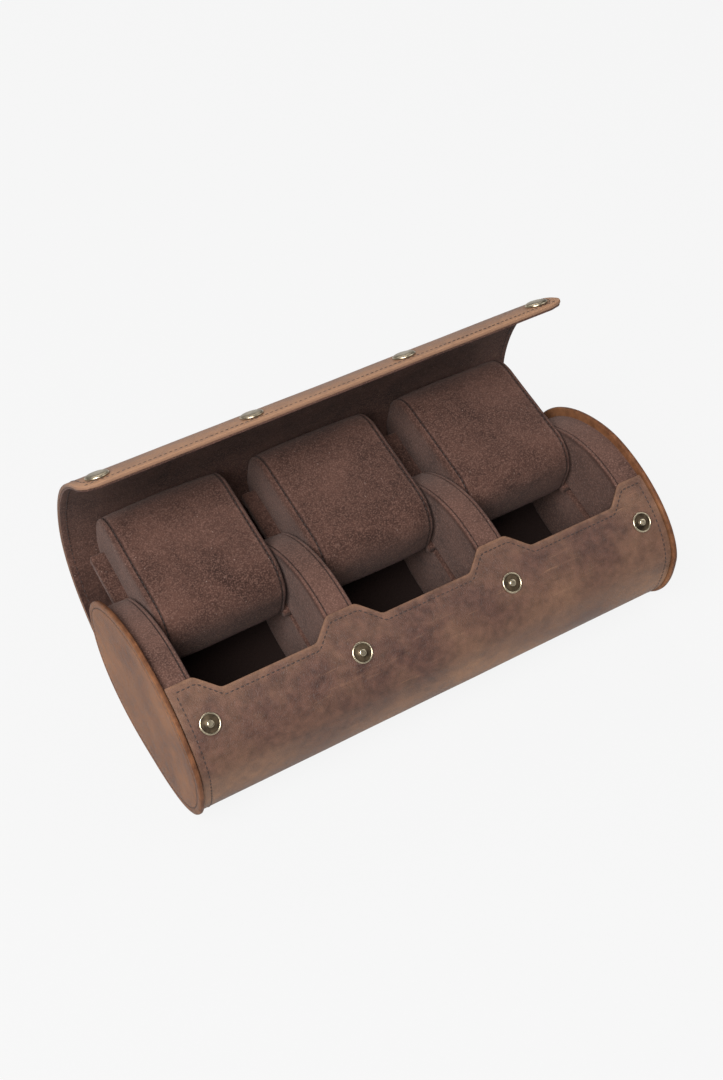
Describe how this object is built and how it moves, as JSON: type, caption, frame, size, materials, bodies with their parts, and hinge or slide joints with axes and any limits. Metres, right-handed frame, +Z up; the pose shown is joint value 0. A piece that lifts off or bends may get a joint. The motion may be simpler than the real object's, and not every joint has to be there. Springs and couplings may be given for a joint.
{
  "type": "watch roll box",
  "caption": "Oval leather watch roll with three suede watch places, sliding watch pillows on grooved walls and a wrap-over lid that snaps to the front.",
  "frame": {"origin": "on the resting plane, under the middle of the tray", "axes": "+X along the roll, to the right seen from the front; +Y to the back, where the lid is; +Z up"},
  "size_m": [0.24, 0.1374, 0.127],
  "materials": {
    "pull_up_leather": "waxed pull-up leather with rubbed lighter patches",
    "suede": "mauve-brown microsuede with a short nap",
    "stiff_board": "plain grey-brown board",
    "foam_block": "suede over a foam block",
    "wood_core": "plain fibreboard",
    "antique_brass": "antiqued brass, rubbed bright on the rims"
  },
  "bodies": {
    "tray": {"left_end_cover": "pull_up_leather", "left_end_board": "stiff_board", "right_end_cover": "pull_up_leather", "right_end_board": "stiff_board", "outer_wrap_leather": "pull_up_leather", "wrap_stiffener": "stiff_board", "tray_lining": "suede", "snap_studs": "antique_brass", "snap_stud_backs": "antique_brass", "left_end_wall_core": "wood_core", "left_end_wall_rim_band": "suede", "left_end_wall_suede_faces": "suede", "left_divider_core": "wood_core", "left_divider_rim_band": "suede", "left_divider_suede_faces": "suede", "right_divider_core": "wood_core", "right_divider_rim_band": "suede", "right_divider_suede_faces": "suede", "right_end_wall_core": "wood_core", "right_end_wall_rim_band": "suede", "right_end_wall_suede_faces": "suede"},
    "lid_1": {"lid_leather_1": "pull_up_leather", "lid_lining_1": "suede"},
    "lid_2": {"lid_leather_2": "pull_up_leather", "lid_lining_2": "suede"},
    "lid_3": {"lid_leather_3": "pull_up_leather", "lid_lining_3": "suede"},
    "lid_4": {"lid_leather_4": "pull_up_leather", "lid_lining_4": "suede", "snap_caps": "antique_brass", "snap_sockets": "antique_brass"},
    "left_pillow": {"left_pillow_cushion": "foam_block", "left_pillow_gussets": "suede", "left_wing_board": "suede"},
    "middle_pillow": {"middle_pillow_cushion": "foam_block", "middle_pillow_gussets": "suede", "middle_wing_board": "suede"},
    "right_pillow": {"right_pillow_cushion": "foam_block", "right_pillow_gussets": "suede", "right_wing_board": "suede"}
  },
  "joints": [
    {"name": "lid_hinge", "type": "hinge", "parent": "tray", "child": "lid_1", "pos_m": [0, 0.0394, 0.01052], "axis": [1, 0, 0], "range_deg": [-10, 40.2]},
    {"name": "lid_curl_low", "type": "hinge", "parent": "lid_1", "child": "lid_2", "pos_m": [0, 0.07115, 0.03037], "axis": [1, 0, 0], "range_deg": [-6.7, 26.6]},
    {"name": "lid_curl_middle", "type": "hinge", "parent": "lid_2", "child": "lid_3", "pos_m": [0, 0.08149, 0.06527], "axis": [1, 0, 0], "range_deg": [-5.7, 1.5]},
    {"name": "lid_curl_edge", "type": "hinge", "parent": "lid_3", "child": "lid_4", "pos_m": [0, 0.06816, 0.10094], "axis": [1, 0, 0], "range_deg": [-2.3, 9.1]},
    {"name": "left_pillow_slide", "type": "slide", "parent": "tray", "child": "left_pillow", "axis": [0, -0.9659, -0.2588], "range_m": [-0.0126, 0.0502]},
    {"name": "middle_pillow_slide", "type": "slide", "parent": "tray", "child": "middle_pillow", "axis": [0, -0.9659, -0.2588], "range_m": [-0.0126, 0.0502]},
    {"name": "right_pillow_slide", "type": "slide", "parent": "tray", "child": "right_pillow", "axis": [0, -0.9659, -0.2588], "range_m": [-0.0126, 0.0502]}
  ],
  "couplings": [
    {"joint": "lid_curl_low", "follows": "lid_hinge", "ratio": 0.66},
    {"joint": "lid_curl_middle", "follows": "lid_hinge", "ratio": -0.14},
    {"joint": "lid_curl_edge", "follows": "lid_hinge", "ratio": 0.225},
    {"joint": "left_pillow_slide", "follows": "lid_hinge", "m_per_rad": 0.071263},
    {"joint": "middle_pillow_slide", "follows": "lid_hinge", "m_per_rad": 0.071263},
    {"joint": "right_pillow_slide", "follows": "lid_hinge", "m_per_rad": 0.071263}
  ]
}
